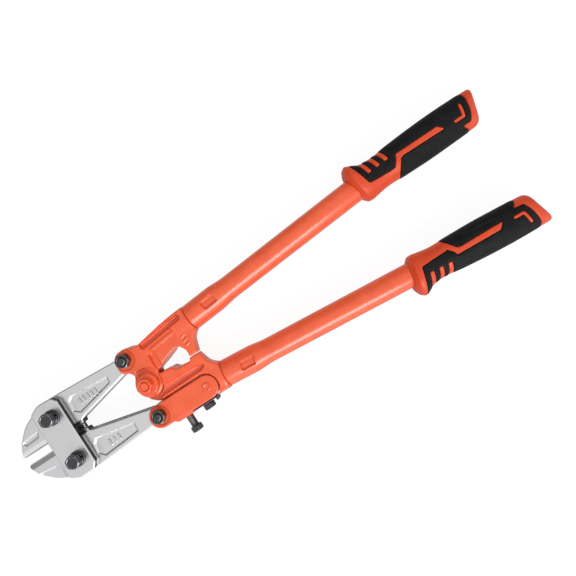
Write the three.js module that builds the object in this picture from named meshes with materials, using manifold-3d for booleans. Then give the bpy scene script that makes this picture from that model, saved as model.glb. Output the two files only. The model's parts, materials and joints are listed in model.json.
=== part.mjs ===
// Bolt cutters of the 350 mm class: two forged jaws between straps, driven by two
// lever forgings with tubular handles and two-colour grips.
//
// Millimetres, +Z up, the tool lying flat: X runs along the tool from the jaws to
// the grips, Y across it towards the upper handle. Until the last lines the origin
// is the centre pivot at the mid-plane of the tool's thickness.

import * as THREE from 'three';
import { mergeVertices } from 'three/addons/utils/BufferGeometryUtils.js';
import Module from 'manifold-3d';

const wasm = await Module();
wasm.setup();

// ---------------------------------------------------------------- driving dimensions

// Layers through the thickness, as distances from the mid-plane.
const CORE_HALF = 3.3; // jaws, and the tongues that run between forks
const CHEEK_IN = 3.6; // inner faces of straps, fork ears and link cheeks
const CHEEK_OUT = 7.3; // outer faces of the same
const REST_LEVEL = -12.4; // jaw nuts and grip collars lie on this level
const GAP = 0.3; // clearance between pieces that touch

// Pivots.
const TAIL_X = -4.3; // jaw tail bolts
const TAIL_Y = 20;
const JAW_X = -63; // strap bolts
const JAW_Y = 14.9;
const LINK_CENTRE_Y = -20.7; // centre line of the adjusting link
const RIVET_X = 29.6;

// M5 fasteners.
const M5_RADIUS = 2.5;
const M5_HOLE = M5_RADIUS + GAP;
const M5_FLATS = 8;
const NUT_HEIGHT = 4.2;
const HEAD_HEIGHT = 4;

// Jaws.
const NOSE_X = -97.2;
const EDGE_Y = 2.6; // half the gap between the cutting edges
const EDGE_END_X = -72;
const EDGE_LAND = 0.35; // half width of the flat left on a cutting edge
const BEVEL_WIDTH = 3.6;
const PANEL_DEPTH = 0.9;
const TAIL_RADIUS = 6.6;
const OPEN_PIVOT_HOLE = 4.4; // oversize hole of the lower tail, see the pivot's note

// Straps.
const STRAP_FRONT_X = -74.6;
const STRAP_REAR_X = -54.8;
const STRAP_HALF_LENGTH = 24;

// Lever forgings.
const EAR_RADIUS = 7;
const FORK_RADIUS = 7.4; // fork slot around a jaw tail
const EYE_RADIUS = 8.8;
const EYE_CLEARANCE = 9.25;
const BOSS_RADIUS = 6.9;
const BOSS_TOP = 9.1;
const BOSS_BOTTOM = -8.1;
const JOINT_X = 42; // where forging and tube meet
const JOINT_SLANT = 0.65; // keeps the joint square to the sloping tube

// Adjusting link and its screws.
const LINK_HALF_WIDTH = 7.3;
const LINK_WEB = 2.7;
const SCREW_FLATS = 7;
const SCREW_HEAD = 3.5;
const FRONT_SCREW = { x: 8.4, headY: -37.5 };
const REAR_SCREW = { x: 22.8, headY: -29.9 };
const SCREW_TIP_Y = -24.9;
const RIVET_SHANK = 2;
const RIVET_HOLE = RIVET_SHANK + GAP;

// Handles: each tube's axis slopes away from the tool's centre line.
const HANDLE_SLOPE = THREE.MathUtils.degToRad(4.55);
const HANDLE_OFFSET = 16.9; // distance of the tube's axis from the centre pivot
const TUBE_RADIUS = 7.45;
const TUBE_BORE = 5.8;
const SOCKET_RADIUS = 8.4; // widened end of the tube over the forging
const SOCKET_BORE = 6.6;
const TUBE_START = 43.9;
const TUBE_END = 238;
const COVER_THICKNESS = 1.5;

// ---------------------------------------------------------------- materials

function finish(color, roughness, metalness) {
  return () => new THREE.MeshStandardMaterial({ color, roughness, metalness });
}

const orangePaint = finish(0xe8502a, 0.38, 0.1);
const satinSteel = finish(0xc9cacc, 0.35, 0.9);
const blackSteel = finish(0x2a2b2d, 0.45, 0.7);
const orangePlastic = finish(0xe4502a, 0.5, 0);
const blackRubber = finish(0x242527, 0.75, 0);

// ---------------------------------------------------------------- building helpers

// A closed three.js geometry as a manifold solid.
function solid(geometry) {
  const bare = geometry.clone();
  bare.deleteAttribute('normal');
  bare.deleteAttribute('uv');
  const merged = mergeVertices(bare, 1e-4);
  return new wasm.Manifold(new wasm.Mesh({
    numProp: 3,
    vertProperties: new Float32Array(merged.attributes.position.array),
    triVerts: new Uint32Array(merged.index.array),
  }));
}

// A manifold solid as a three.js geometry.
function geometryOf(manifold) {
  const mesh = manifold.getMesh();
  const geometry = new THREE.BufferGeometry();
  geometry.setAttribute('position', new THREE.BufferAttribute(new Float32Array(mesh.vertProperties), 3));
  geometry.setIndex(new THREE.BufferAttribute(new Uint32Array(mesh.triVerts), 1));
  geometry.computeVertexNormals();
  return geometry;
}

// A closed outline through corners [x, y, radius]; each radius rounds its corner with
// an arc, and 0 or nothing leaves it sharp.
function outline(corners) {
  const shape = new THREE.Shape();
  corners.forEach(([x, y, radius = 0], index) => {
    const corner = new THREE.Vector2(x, y);
    const before = new THREE.Vector2(...corners.at(index - 1)).sub(corner).normalize();
    const after = new THREE.Vector2(...corners[(index + 1) % corners.length]).sub(corner).normalize();
    const start = index === 0 ? 'moveTo' : 'lineTo';
    if (radius === 0) {
      shape[start](x, y);
      return;
    }
    const turn = Math.acos(before.dot(after));
    const reach = radius / Math.tan(turn / 2);
    const enter = corner.clone().addScaledVector(before, reach);
    const leave = corner.clone().addScaledVector(after, reach);
    const bisector = before.clone().add(after).normalize();
    const middle = corner.clone().addScaledVector(bisector, radius / Math.sin(turn / 2));
    const clockwise = before.cross(after) > 0;
    const from = Math.atan2(enter.y - middle.y, enter.x - middle.x);
    const to = Math.atan2(leave.y - middle.y, leave.x - middle.x);
    shape[start](enter.x, enter.y);
    shape.absarc(middle.x, middle.y, radius, from, to, clockwise);
  });
  shape.closePath();
  return shape;
}

// A plate of the given outline between two levels.
function plate(shape, bottom, top, curveSegments = 3) {
  const geometry = new THREE.ExtrudeGeometry(shape, { depth: top - bottom, bevelEnabled: false, curveSegments });
  return solid(geometry.translate(0, 0, bottom));
}

// An upright cylinder; six sides make a hexagon with flats towards +X and -X.
function disc(x, y, radius, bottom, top, sides = 20) {
  const geometry = new THREE.CylinderGeometry(radius, radius, top - bottom, sides);
  return solid(geometry.rotateX(Math.PI / 2).translate(x, y, (top + bottom) / 2));
}

function hexagon(x, y, flats, bottom, top) {
  return disc(x, y, flats / Math.sqrt(3), bottom, top, 6);
}

// A cylinder along Y, for the adjusting screws.
function rod(x, radius, fromY, toY, sides = 12) {
  const geometry = new THREE.CylinderGeometry(radius, radius, toY - fromY, sides);
  return solid(geometry.translate(x, (toY + fromY) / 2, 0));
}

function union(first, ...others) {
  return others.reduce((sum, other) => sum.add(other), first);
}

function without(body, ...cutters) {
  return cutters.reduce((rest, cutter) => rest.subtract(cutter), body);
}

// The same solid on the other side of the tool's centre line.
function mirrored(manifold) {
  return manifold.mirror([0, 1, 0]);
}

// The same recess cut into both faces of a plate.
function bothFaces(shape, depth, face, curveSegments = 3) {
  const front = plate(shape, face - depth, face + 1, curveSegments);
  return front.add(front.mirror([0, 0, 1]));
}

const tool = new THREE.Group();

function addPiece(name, manifold, material, parent = tool) {
  const mesh = new THREE.Mesh(geometryOf(manifold), material());
  mesh.name = name;
  parent.add(mesh);
  return mesh;
}

// ---------------------------------------------------------------- jaws and straps

// The upper jaw; the lower one is its mirror image with a wider tail hole.
function jaw(tailHole) {
  const body = plate(outline([
    [NOSE_X, EDGE_Y],
    [EDGE_END_X, EDGE_Y, 0.8],
    [EDGE_END_X, GAP, 0.8],
    [JAW_X, GAP],
    [-50, 1.9, 0.5], // the heels taper apart and meet again when the tool is wide open
    [-49.6, 3.9],
    [TAIL_X - 3, 13.6, 4],
    [TAIL_X + 2, 16],
    [TAIL_X + 2, 24],
    [TAIL_X - 6, 23.2, 4],
    [-53, 25.8, 30],
    [-67, 26.2, 24],
    [-84, 19.9, 22],
    [-92.6, 11.6, 6],
  ]), -CORE_HALF, CORE_HALF);
  const bevel = new THREE.Shape([
    new THREE.Vector2(EDGE_Y + BEVEL_WIDTH, CORE_HALF),
    new THREE.Vector2(EDGE_Y - 1, CORE_HALF),
    new THREE.Vector2(EDGE_Y - 1, EDGE_LAND),
    new THREE.Vector2(EDGE_Y, EDGE_LAND),
  ]);
  const bevelLength = { depth: EDGE_END_X - NOSE_X, bevelEnabled: false };
  // The bevel's section is drawn in Y and Z and runs along X.
  const bevelGeometry = new THREE.ExtrudeGeometry(bevel, bevelLength)
    .applyMatrix4(new THREE.Matrix4().makeBasis(
      new THREE.Vector3(0, 1, 0), new THREE.Vector3(0, 0, 1), new THREE.Vector3(1, 0, 0)))
    .translate(NOSE_X - 1, 0, 0);
  const frontBevel = solid(bevelGeometry);
  const tailPanel = outline([
    [-48.1, 20.3, 1], [-21, 18.1, 0.8], [-21.8, 13.5, 1], [-48.1, 7.7, 1.2], [-52.1, 10.9, 1], [-51.3, 17.9, 1.5],
  ]);
  const nosePanel = outline([
    [-93.4, 12.6], [-90.8, 9.6, 0.8], [-80.4, 10.2, 1], [-78, 14, 0.5], [-78, 26], [-90, 26],
  ]);
  return without(
    body.add(disc(TAIL_X, TAIL_Y, TAIL_RADIUS, -CORE_HALF, CORE_HALF)),
    disc(JAW_X, JAW_Y, M5_HOLE, -CHEEK_OUT, CHEEK_OUT),
    disc(TAIL_X, TAIL_Y, tailHole, -CHEEK_OUT, CHEEK_OUT),
    frontBevel,
    frontBevel.mirror([0, 0, 1]),
    bothFaces(tailPanel, PANEL_DEPTH, CORE_HALF, 2),
    bothFaces(nosePanel, PANEL_DEPTH, CORE_HALF, 2),
  );
}

addPiece('upper_jaw', jaw(M5_HOLE), satinSteel);
addPiece('lower_jaw', mirrored(jaw(OPEN_PIVOT_HOLE)), satinSteel);

function strap(bottom, top) {
  const half = STRAP_HALF_LENGTH;
  const shape = outline([
    [STRAP_REAR_X, half, 0.8], [JAW_X - 1.5, half + 1.6, 14], [STRAP_FRONT_X, half - 1.2, 2],
    [STRAP_FRONT_X, 1.2 - half, 2], [JAW_X - 1.5, -half - 1.6, 14], [STRAP_REAR_X, -half, 0.8],
  ]);
  const holes = [JAW_Y, -JAW_Y].map((y) => disc(JAW_X, y, M5_HOLE, bottom - 1, top + 1));
  return without(plate(shape, bottom, top), ...holes);
}

addPiece('front_strap', strap(CHEEK_IN, CHEEK_OUT), satinSteel);
addPiece('rear_strap', strap(-CHEEK_OUT, -CHEEK_IN), satinSteel);

// ---------------------------------------------------------------- fasteners

const WASHER = { radius: 5, bottom: CHEEK_OUT + GAP, top: 8.7 };
const SPRING_WASHER = { radius: 4.6, bottom: 9, top: 10.3 };
const JAW_HEAD_BOTTOM = SPRING_WASHER.top + GAP;

function ring(x, y, radius, bottom, top) {
  return disc(x, y, radius, bottom, top).subtract(disc(x, y, M5_HOLE, bottom - 1, top + 1));
}

function nut(x, y, bottom, top) {
  return hexagon(x, y, M5_FLATS, bottom, top).subtract(disc(x, y, M5_HOLE, bottom - 1, top + 1));
}

// A split spring washer: a ring with a slanted cut through one side.
function springWasher(x, y) {
  const { radius, bottom, top } = SPRING_WASHER;
  const cut = new THREE.BoxGeometry(radius, 0.8, 6).rotateX(0.6).translate(x + radius, y, (bottom + top) / 2);
  return ring(x, y, radius, bottom, top).subtract(solid(cut));
}

for (const [side, y] of [['upper', JAW_Y], ['lower', -JAW_Y]]) {
  const headTop = JAW_HEAD_BOTTOM + HEAD_HEIGHT;
  const bolt = hexagon(JAW_X, y, M5_FLATS, JAW_HEAD_BOTTOM, headTop)
    .add(disc(JAW_X, y, M5_RADIUS, REST_LEVEL, headTop - 1));
  addPiece(`${side}_jaw_bolt`, bolt, blackSteel);
  addPiece(`${side}_jaw_flat_washer`, ring(JAW_X, y, WASHER.radius, WASHER.bottom, WASHER.top), blackSteel);
  addPiece(`${side}_jaw_spring_washer`, springWasher(JAW_X, y), blackSteel);
  addPiece(`${side}_jaw_nut`, nut(JAW_X, y, REST_LEVEL, -CHEEK_OUT - GAP), blackSteel);
}

// A through bolt with its head at the back and its nut and thread end in front.
function throughBolt(x, y, backFace, threadEnd) {
  const headTop = backFace - GAP;
  const head = hexagon(x, y, M5_FLATS, Math.max(headTop - HEAD_HEIGHT, REST_LEVEL + GAP), headTop);
  return head.add(disc(x, y, M5_RADIUS, headTop - 1, threadEnd));
}

const THREAD_PROUD = 1;
for (const [side, y] of [['upper', TAIL_Y], ['lower', -TAIL_Y]]) {
  const nutBottom = CHEEK_OUT + GAP;
  const nutTop = nutBottom + NUT_HEIGHT;
  addPiece(`${side}_tail_bolt`, throughBolt(TAIL_X, y, -CHEEK_OUT, nutTop + THREAD_PROUD), blackSteel);
  addPiece(`${side}_tail_nut`, nut(TAIL_X, y, nutBottom, nutTop), blackSteel);
}

const PIVOT_NUT_BOTTOM = BOSS_TOP + GAP;
const PIVOT_NUT_TOP = PIVOT_NUT_BOTTOM + HEAD_HEIGHT;
addPiece('pivot_bolt', throughBolt(0, 0, BOSS_BOTTOM, PIVOT_NUT_TOP + 0.8), orangePaint);
addPiece('pivot_nut', nut(0, 0, PIVOT_NUT_BOTTOM, PIVOT_NUT_TOP), orangePaint);

// ---------------------------------------------------------------- handle placement

// A handle group: X along the tube's axis from the foot of the centre pivot, Y outward.
function handleMatrix() {
  return new THREE.Matrix4()
    .makeRotationZ(HANDLE_SLOPE)
    .multiply(new THREE.Matrix4().makeTranslation(0, HANDLE_OFFSET, 0));
}

// A solid drawn along the upper handle's axis, placed in the tool.
function onHandle(geometry) {
  return solid(geometry.clone().applyMatrix4(handleMatrix()));
}

// A turned profile [along the axis, radius], closed on itself or on the axis.
function turned(profile, sides = 20) {
  const points = profile.map(([along, radius]) => new THREE.Vector2(radius, along));
  return new THREE.LatheGeometry(points, sides).rotateZ(-Math.PI / 2);
}

function spigot() {
  return onHandle(turned([
    [JOINT_X - 2, 0], [JOINT_X - 2, SOCKET_BORE - GAP], [58, SOCKET_BORE - GAP], [62, TUBE_BORE - GAP],
    [78, TUBE_BORE - GAP], [80, TUBE_BORE - 2], [80, 0],
  ]));
}

// ---------------------------------------------------------------- lever forgings

function upperForging() {
  const body = plate(outline([
    [JOINT_X + JOINT_SLANT, 12.2, 1],
    [38.9, 7.6, 5],
    [36.6, 0.35, 0.8],
    [30.3, 0.35, 0.6],
    [29.8, 8.6, 2.6],
    [26, 8.6, 1.5],
    [8.6, 4.4, 2],
    [6, 0],
    [-8, 0],
    [-5.2, 4.8, 2],
    [-5.2, 11.2, 3.5],
    [TAIL_X - EAR_RADIUS, TAIL_Y - EAR_RADIUS, 5],
    [TAIL_X - EAR_RADIUS, TAIL_Y + EAR_RADIUS, EAR_RADIUS - 0.1],
    [0.6, TAIL_Y + EAR_RADIUS, 4],
    [5, 23.3, 9],
    [26, 26.9, 40],
    [JOINT_X - JOINT_SLANT, 28.2, 1],
  ]), -CHEEK_OUT, CHEEK_OUT);
  const edgeGroove = outline([[8.6, 23.2, 1.5], [38.4, 26.5, 0.8], [38.2, 24.6, 0.8], [8.8, 19.9, 1.5]]);
  const stepRecess = outline([[10.6, 15.8, 1], [14, 15, 1], [13.4, 6.4, 0.8], [10.4, 6.2, 0.8]]);
  const tailFork = union(
    disc(TAIL_X, TAIL_Y, FORK_RADIUS, -CHEEK_IN, CHEEK_IN),
    plate(outline([[-30, 12.4], [TAIL_X - 1, 12.4], [TAIL_X + 1, 32], [-30, 32]]), -CHEEK_IN, CHEEK_IN),
  );
  return without(
    union(
      body,
      disc(0, 0, EYE_RADIUS, -CHEEK_OUT, CHEEK_OUT, 24),
      disc(0, 0, BOSS_RADIUS, BOSS_BOTTOM, BOSS_TOP, 24),
      spigot(),
    ),
    tailFork,
    disc(0, 0, EYE_CLEARANCE, -CHEEK_IN, CHEEK_IN, 24),
    disc(0, 0, M5_HOLE, -20, 20),
    disc(TAIL_X, TAIL_Y, M5_HOLE, -20, 20),
    bothFaces(edgeGroove, 1.6, CHEEK_OUT, 2),
    bothFaces(stepRecess, 1.2, CHEEK_OUT, 2),
  );
}

const LINK_LINE = -12.7; // lower edge of the arm, along the link

function lowerForging() {
  const arm = plate(outline([
    [JOINT_X + JOINT_SLANT, -12.2, 1],
    [38.9, -7.6, 5],
    [36.6, -0.35, 0.8],
    [30.3, -0.35, 0.6],
    [29.4, -2.1, 0.8],
    [19.4, -1.3, 1.5],
    [17.2, 1.2, 1.5],
    [6.6, 2.2],
    [2, -4],
    [2.6, LINK_LINE],
    [RIVET_X, LINK_LINE],
    [RIVET_X, -28.6],
    [JOINT_X - JOINT_SLANT, -28.6, 1],
  ]), -CHEEK_OUT, CHEEK_OUT);
  // The link lies in this pocket, and the tongue below runs between its cheeks.
  const linkPocket = union(
    disc(RIVET_X, LINK_CENTRE_Y, LINK_HALF_WIDTH + 0.6, -CHEEK_OUT - 1, CHEEK_OUT + 1, 24),
    plate(outline([[-20, LINK_LINE], [RIVET_X, LINK_LINE], [RIVET_X, -40], [-20, -40]]), -CHEEK_OUT - 1, CHEEK_OUT + 1),
  );
  const tongue = plate(outline([
    [5, -24.6, 2], [34, -24.6, 5], [37, -20, 3], [37, -8], [8, 2], [-6, -5], [-6.4, -8.4, 4], [-0.8, -13, 5],
    [5, -13.8],
  ]), -CORE_HALF, CORE_HALF);
  const armGroove = outline([[6, -10.2, 1], [34, -9.4, 1], [36.4, -8, 0.8], [34, -7.2, 1], [6, -5.6, 1]]);
  return without(
    union(
      without(arm, linkPocket, disc(0, 0, EYE_CLEARANCE, -20, 20, 24)),
      tongue,
      disc(0, 0, EYE_RADIUS - 0.3, -CORE_HALF, CORE_HALF, 24),
      mirrored(spigot()),
    ),
    disc(0, 0, M5_HOLE, -20, 20),
    disc(RIVET_X, LINK_CENTRE_Y, RIVET_HOLE, -20, 20),
    bothFaces(armGroove, 1.6, CHEEK_OUT, 2),
  );
}

addPiece('upper_forging', upperForging(), orangePaint);
addPiece('lower_forging', lowerForging(), orangePaint);

// ---------------------------------------------------------------- adjusting link

const LINK_LEFT = TAIL_X - LINK_HALF_WIDTH - 0.3;
const LINK_RIGHT = RIVET_X + LINK_HALF_WIDTH;
const LINK_TOP = LINK_CENTRE_Y + LINK_HALF_WIDTH;
const LINK_BOTTOM = LINK_CENTRE_Y - LINK_HALF_WIDTH;

// Two cheeks joined by a web along their outer side: a channel over tongue and tail.
function adjustingLink() {
  const round = LINK_HALF_WIDTH - 0.05;
  const cheeks = plate(outline([
    [LINK_LEFT, LINK_TOP, round], [LINK_LEFT, LINK_BOTTOM, round],
    [LINK_RIGHT, LINK_BOTTOM, round], [LINK_RIGHT, LINK_TOP, round],
  ]), -CHEEK_OUT, CHEEK_OUT, 12);
  const web = plate(outline([
    [3.4, LINK_BOTTOM + LINK_WEB], [3.4, LINK_BOTTOM - 0.4, 1.2],
    [31, LINK_BOTTOM - 0.4, 1.2], [31, LINK_BOTTOM + LINK_WEB],
  ]), -CHEEK_OUT + 0.6, CHEEK_OUT - 0.6);
  const channel = plate(outline([
    [-30, -60], [3.4, -60], [3.4, LINK_BOTTOM + LINK_WEB], [60, LINK_BOTTOM + LINK_WEB], [60, 0], [-30, 0],
  ]), -CHEEK_IN, CHEEK_IN);
  const screwHoles = [FRONT_SCREW, REAR_SCREW].map(({ x }) => rod(x, M5_RADIUS + GAP, -35, -22));
  return without(
    union(cheeks, web),
    channel,
    ...screwHoles,
    disc(TAIL_X, -TAIL_Y, M5_HOLE, -20, 20),
    disc(RIVET_X, LINK_CENTRE_Y, RIVET_HOLE, -20, 20),
  );
}

addPiece('adjusting_link', adjustingLink(), orangePaint);

// The rivet has a low domed head on each side of the link.
const RIVET_HEAD = { radius: 2.7, height: 0.5 };
const rivetShank = disc(RIVET_X, LINK_CENTRE_Y, RIVET_SHANK, -CHEEK_OUT - 1, CHEEK_OUT + 1);
const rivetHeads = [CHEEK_OUT + GAP, -CHEEK_OUT - GAP - RIVET_HEAD.height].map((bottom) => (
  disc(RIVET_X, LINK_CENTRE_Y, RIVET_HEAD.radius, bottom, bottom + RIVET_HEAD.height)));
addPiece('link_rivet', union(rivetShank, ...rivetHeads), orangePaint);

// An adjusting screw along Y: its tip bears on the tongue, its head hangs outside the web.
function adjustingScrew({ x, headY }) {
  const head = new THREE.CylinderGeometry(SCREW_FLATS / Math.sqrt(3), SCREW_FLATS / Math.sqrt(3), SCREW_HEAD, 6)
    .translate(x, headY - SCREW_HEAD / 2, 0);
  return rod(x, M5_RADIUS, headY - 1, SCREW_TIP_Y).add(solid(head));
}

addPiece('front_adjusting_screw', adjustingScrew(FRONT_SCREW), blackSteel);
addPiece('rear_adjusting_screw', adjustingScrew(REAR_SCREW), blackSteel);

// A thin plate under the rear screw's head keeps it from turning.
const LOCK_PLATE = { from: 15, to: 30.4, top: LINK_BOTTOM - 0.7, bottom: LINK_BOTTOM - 1.6, half: 4 };
const lockPlate = plate(outline([
  [LOCK_PLATE.from, LOCK_PLATE.bottom], [LOCK_PLATE.to, LOCK_PLATE.bottom],
  [LOCK_PLATE.to, LOCK_PLATE.top], [LOCK_PLATE.from, LOCK_PLATE.top],
]), -LOCK_PLATE.half, LOCK_PLATE.half);
addPiece('lock_plate', lockPlate.subtract(rod(REAR_SCREW.x, M5_RADIUS + GAP, -35, -22)), blackSteel);

// ---------------------------------------------------------------- tubes

// A trapezoid crimp pressed into the tube's face over the spigot.
function crimp() {
  const shape = outline([[56.5, -2.4, 0.6], [65.5, -2.2, 0.6], [64.5, 2.6, 0.6], [55.5, 2.6, 0.6]]);
  const depth = { depth: 3, bevelEnabled: false, curveSegments: 3 };
  return onHandle(new THREE.ExtrudeGeometry(shape, depth).translate(0, 0, SOCKET_RADIUS - 1.1));
}

function tube() {
  const body = onHandle(turned([
    [TUBE_START, SOCKET_BORE], [TUBE_START, SOCKET_RADIUS], [62, SOCKET_RADIUS], [76, TUBE_RADIUS],
    [TUBE_END, TUBE_RADIUS], [TUBE_END, TUBE_BORE], [66, TUBE_BORE], [60, SOCKET_BORE], [TUBE_START, SOCKET_BORE],
  ]));
  return without(body, crimp(), crimp().mirror([0, 0, 1]));
}

addPiece('upper_tube', tube(), orangePaint);
addPiece('lower_tube', mirrored(tube()), orangePaint);

// ---------------------------------------------------------------- grips

// Stations along the grip: place on the handle's axis, inner and outer side, and half
// thickness. The collar at the front flares outward, and the end is drawn in.
const GRIP_STATIONS = [
  [168.6, -8.6, 10.2, 9.6],
  [170.4, -10.2, 13.6, 11.8],
  [173, -10.9, 14.7, 12.4],
  [176.4, -11.3, 13.2, 11.9],
  [180.5, -10.8, 11, 10.9],
  [186.5, -10.3, 9.9, 10.2],
  [212, -11.9, 10.4, 10.9],
  [232, -12.6, 9.9, 10.9],
  [248, -12.7, 8.9, 10.4],
  [252.5, -12, 8.4, 9.6],
  [255.6, -9.8, 7.4, 7.9],
  [257, -6.4, 5.2, 5.2],
];

// The grip's form, a cylinder whose rings are fitted to the stations and drawn in by
// inset on every side.
function gripForm(inset) {
  const geometry = new THREE.CylinderGeometry(1, 1, 1, 16, GRIP_STATIONS.length - 1).rotateZ(-Math.PI / 2);
  const position = geometry.attributes.position;
  for (let index = 0; index < position.count; index += 1) {
    const station = Math.round((position.getX(index) + 0.5) * (GRIP_STATIONS.length - 1));
    const [along, inner, outer, halfThickness] = GRIP_STATIONS[station];
    const across = (outer + inner) / 2 + position.getY(index) * ((outer - inner) / 2 - inset);
    position.setXYZ(index, along, across, position.getZ(index) * (halfThickness - inset));
  }
  return onHandle(geometry);
}

// A cutter through the grip's whole thickness from corners on the handle's axis.
function gripCutter(corners) {
  const depth = { depth: 60, bevelEnabled: false, curveSegments: 2 };
  return onHandle(new THREE.ExtrudeGeometry(outline(corners), depth).translate(0, 0, -30));
}

// Where the soft cover lies. A margin grows the area and shrinks its openings, so the
// core's recess clears the cover all round.
const OUTSIDE = 30; // beyond the grip on either side
function coverArea(margin) {
  const area = gripCutter([
    [174.6 - margin, OUTSIDE], [178 - margin, -5.2 - margin, 1.5], [193.6, -5.4 - margin, 1],
    [195.8 - margin, -OUTSIDE], [242.2 + margin, -OUTSIDE], [240.6 + margin, -8.6 - margin],
    [247.4 + margin, -8.6 - margin, 1], [252.6 + margin, OUTSIDE],
  ]);
  const stripe = gripCutter([
    [190, -5.4 - margin], [196.4 + margin, -4.8 - margin], [199.6 + margin, 0.9 - margin, 1],
    [229.6 - margin, -0.6 - margin, 1], [229.4 - margin, -4.2 + margin, 1], [203.2, -2.8 + margin, 1],
    [200.6 - margin, -4.4, 1], [195.6 - margin, -14], [190, -14],
  ]);
  const slots = [181.2, 187, 192.8].map((tip) => gripCutter([
    [tip - 5 + margin, OUTSIDE], [tip - 1.5 + margin, 1.6 + margin, 0.9],
    [tip + 1.5 - margin, 2 + margin, 0.9], [tip - 1.4 - margin, OUTSIDE],
  ]));
  const chevron = gripCutter([
    [235.6 + margin, -2.4 - margin], [240.8, -2.4 - margin], [242.6 + margin, 3.4 - margin],
    [244.4 - margin, 3 - margin], [242.4 - margin, -4.4 + margin], [235.6 + margin, -4.4 + margin],
  ]);
  return without(area, ...slots, stripe, chevron);
}

function gripCover() {
  return without(gripForm(0).intersect(coverArea(0)), gripForm(COVER_THICKNESS));
}

function gripCore() {
  const recess = without(coverArea(GAP), gripForm(COVER_THICKNESS + GAP));
  const bore = onHandle(turned([
    [150, 0], [150, TUBE_RADIUS + GAP], [TUBE_END + GAP, TUBE_RADIUS + GAP], [TUBE_END + GAP, 0],
  ]));
  return without(gripForm(0), recess, bore);
}

addPiece('upper_grip_core', gripCore(), orangePlastic);
addPiece('upper_grip_cover', gripCover(), blackRubber);
addPiece('lower_grip_core', mirrored(gripCore()), orangePlastic);
addPiece('lower_grip_cover', mirrored(gripCover()), blackRubber);

// ---------------------------------------------------------------- origin

// The origin moves to the middle of the underside.
const box = new THREE.Box3().setFromObject(tool);
const centre = box.getCenter(new THREE.Vector3());
tool.position.set(-centre.x, -centre.y, -box.min.z);

export default tool;
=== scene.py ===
"""Bolt cutters lying on a pale floor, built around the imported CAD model.

Shapes are written in millimetres in the tool's own frame: X runs from the jaws to the
grips, Y across the tool towards the upper handle, Z up from the middle of its thickness,
and the origin is the centre pivot. to_row() moves finished meshes into the row frame.
Forged, stamped and moulded pieces are signed distance fields, negative inside, turned
into meshes by surface(); turned and hexagonal pieces are rings joined by loft().
"""

import json
import math

import bpy
import numpy as np
from mathutils import Euler, Matrix, Vector


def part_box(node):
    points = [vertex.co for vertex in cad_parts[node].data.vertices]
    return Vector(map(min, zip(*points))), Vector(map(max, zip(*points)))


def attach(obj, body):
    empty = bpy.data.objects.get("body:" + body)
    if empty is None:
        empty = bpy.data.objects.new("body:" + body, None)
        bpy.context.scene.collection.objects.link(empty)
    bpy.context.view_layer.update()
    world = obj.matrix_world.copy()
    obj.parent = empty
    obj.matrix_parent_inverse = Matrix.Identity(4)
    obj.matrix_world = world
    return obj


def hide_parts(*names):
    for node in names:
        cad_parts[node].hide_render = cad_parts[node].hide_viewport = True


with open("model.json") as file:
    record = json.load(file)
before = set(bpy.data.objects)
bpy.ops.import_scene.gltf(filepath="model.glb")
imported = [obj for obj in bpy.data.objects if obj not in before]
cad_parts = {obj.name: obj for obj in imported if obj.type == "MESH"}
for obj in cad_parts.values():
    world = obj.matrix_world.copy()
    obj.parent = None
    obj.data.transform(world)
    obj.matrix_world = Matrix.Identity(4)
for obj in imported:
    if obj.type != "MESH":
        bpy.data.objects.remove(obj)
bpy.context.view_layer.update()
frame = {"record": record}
collection = bpy.context.scene.collection

# ------------------------------------------------------------------ driving dimensions, mm

MM = 0.001
CORE_HALF = 3.3  # jaws and tongues, from the mid-plane
CHEEK_IN = 3.6  # straps, fork ears and link cheeks
CHEEK_OUT = 7.3
REST_LEVEL = -12.4  # the undersides of the jaws' nuts, on which the tool lies
GAP = 0.3  # from the middle to each jaw's heel, and between straps and nuts
RIVET_SHANK = 2.0
RIVET_HOLE = 2.3

TAIL_X, TAIL_Y = -4.3, 20.0
JAW_X, JAW_Y = -63.0, 14.9
LINK_Y = -20.7
RIVET_X = 29.6

HANDLE_SLOPE = math.radians(4.55)
HANDLE_OFFSET = 16.9
TUBE_RADIUS = 7.45
TUBE_WALL = 1.7
SOCKET_RADIUS = 8.4
SOCKET_START = 43.9
COLLAR_AT, COLLAR_HALF = 38.0, 5.4
SPIGOT_RADIUS, SPIGOT_AT, SPIGOT_HALF = 6.4, 46.0, 6.0

M5 = {"radius": 2.5, "pitch": 0.8, "flats": 8.0}
SCREW = {"radius": 2.5, "pitch": 0.8, "flats": 7.0}
BOLT_HOLE = 2.8

# ------------------------------------------------------------------ frames


def centre_of(node):
    low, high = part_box(node)
    return (low + high) / 2


pivot = centre_of("pivot_bolt")
mid_plane = (centre_of("front_strap").z + centre_of("rear_strap").z) / 2
to_row = Matrix.Translation((pivot.x, pivot.y, mid_plane)) @ Matrix.Scale(MM, 4)
mirror = Matrix.Scale(-1, 4, (0, 1, 0))
handle = Matrix.Rotation(HANDLE_SLOPE, 4, "Z") @ Matrix.Translation((0, HANDLE_OFFSET, 0))

# ------------------------------------------------------------------ camera

CAMERA_AT = (122.42, 0.59, 273.26)  # over the handles, in the tool's frame
CAMERA_TILT = (-1.8, 3.637, -33.008)
CAMERA_LENS = 28.125

camera = bpy.data.objects.new("camera", bpy.data.cameras.new("camera"))
camera.location = to_row @ Vector(CAMERA_AT)
camera.rotation_euler = Euler([math.radians(angle) for angle in CAMERA_TILT])
camera.data.lens = CAMERA_LENS
camera.data.sensor_width = 36
camera.data.clip_start = 0.01
collection.objects.link(camera)
bpy.context.scene.camera = camera

# ------------------------------------------------------------------ materials


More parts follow.
